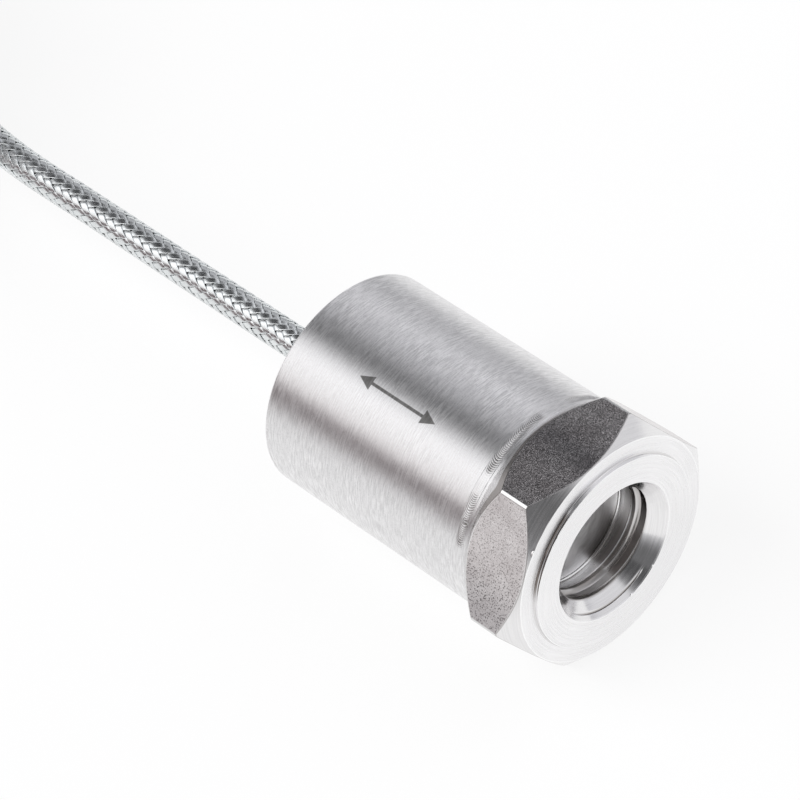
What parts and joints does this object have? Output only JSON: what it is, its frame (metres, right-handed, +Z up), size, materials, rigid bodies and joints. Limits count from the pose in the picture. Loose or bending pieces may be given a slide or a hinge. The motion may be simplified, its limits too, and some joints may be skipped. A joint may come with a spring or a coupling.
{
  "type": "vibration sensor",
  "caption": "Cylindrical steel vibration sensor with a hexagon base, a threaded mounting socket in its face and a steel braided cable from the far end.",
  "frame": {"origin": "middle of the bearing face, on the sensor's axis", "axes": "+X out of the mounting bore along the sensor's axis, +Z up with one hexagon flat on the floor, +Y along the hexagon's corners"},
  "size_m": [0.1776, 0.0646, 0.0359],
  "materials": {
    "base_steel": "turned, with bar finish on the flats",
    "case_steel": "satin, turned round",
    "weld_steel": "rippled weld",
    "alumina": "matt",
    "inner_steel": "turned",
    "piezo_ceramic": "matt, silvered faces",
    "electrode_brass": "rolled",
    "white_plastic": "matt",
    "mass_steel": "ground",
    "shield_steel": "drawn",
    "pad_rubber": "matt",
    "board_laminate": "solder mask",
    "chip_black": "moulded",
    "resistor_black": "glazed",
    "capacitor_tan": "matt",
    "lead_gold": "plated",
    "ferrule_steel": "turned",
    "seal_resin": "potted",
    "core_red": "extruded",
    "core_white": "extruded",
    "cable_braid": "steel ribbon braid",
    "cable_bundle": "steel ribbon braid",
    "tie_nylon": "moulded",
    "shrink_black": "satin",
    "jacket_grey": "extruded",
    "tinned_copper": "tinned"
  },
  "bodies": {
    "root": {"mounting_base": "base_steel", "outer_case": "case_steel", "weld_bead": "weld_steel", "isolation_disc": "alumina", "pedestal": "inner_steel", "lower_piezo_ring": "piezo_ceramic", "electrode": "electrode_brass", "upper_piezo_ring": "piezo_ceramic", "insulating_washer": "alumina", "insulating_sleeve": "white_plastic", "seismic_mass": "mass_steel", "spring_washer": "inner_steel", "preload_nut": "inner_steel", "shield_can": "shield_steel", "board_pad": "pad_rubber", "amplifier_board": "board_laminate", "amplifier_chip": "chip_black", "board_resistors": "resistor_black", "board_capacitors": "capacitor_tan", "signal_lead": "lead_gold", "crimp_ferrule": "ferrule_steel", "entry_seal": "seal_resin", "signal_core": "core_red", "return_core": "core_white", "cable_run": "cable_braid", "cable_coil": "cable_bundle", "cable_tie_near": "tie_nylon", "cable_tie_far": "tie_nylon", "shrink_sleeve": "shrink_black", "inner_jacket": "jacket_grey", "red_lead": "core_red", "white_lead": "core_white", "screen_lead": "tinned_copper", "lead_tips": "tinned_copper"}
  },
  "joints": []
}
